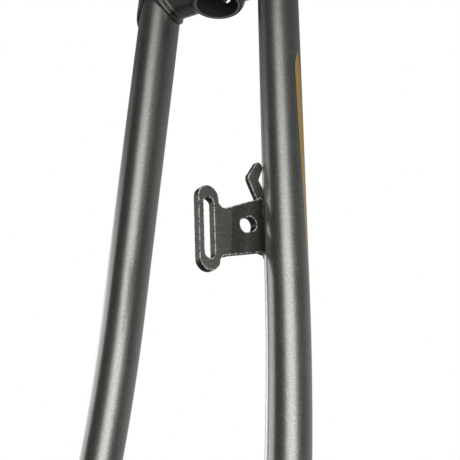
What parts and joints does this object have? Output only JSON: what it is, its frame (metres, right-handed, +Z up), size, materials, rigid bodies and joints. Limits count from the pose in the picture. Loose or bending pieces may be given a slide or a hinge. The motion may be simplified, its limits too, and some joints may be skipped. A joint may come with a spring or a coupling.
{
  "type": "bicycle fork",
  "caption": "Brazed steel bicycle fork with a lugged crown, raked oval blades, slotted dropouts, and a slotted bracket and a cable hook on its left blade.",
  "frame": {"origin": "centre of the crown race seat, on the steering axis", "axes": "+Z up the steerer tube along the steering axis, +X forward, the way the fork's tips are raked, and +Y to the rider's left"},
  "size_m": [0.0698, 0.123, 0.5757],
  "materials": {
    "paint": "charcoal metallic paint with fine flake under a clear coat",
    "bare_steel": "bare drawn steel tube"
  },
  "bodies": {
    "root": {"steerer_tube": "bare_steel", "fork_crown": "paint", "blade_left": "paint", "blade_right": "paint", "dropout_left": "paint", "dropout_right": "paint", "slotted_bracket": "paint", "cable_hook": "paint"}
  },
  "joints": []
}
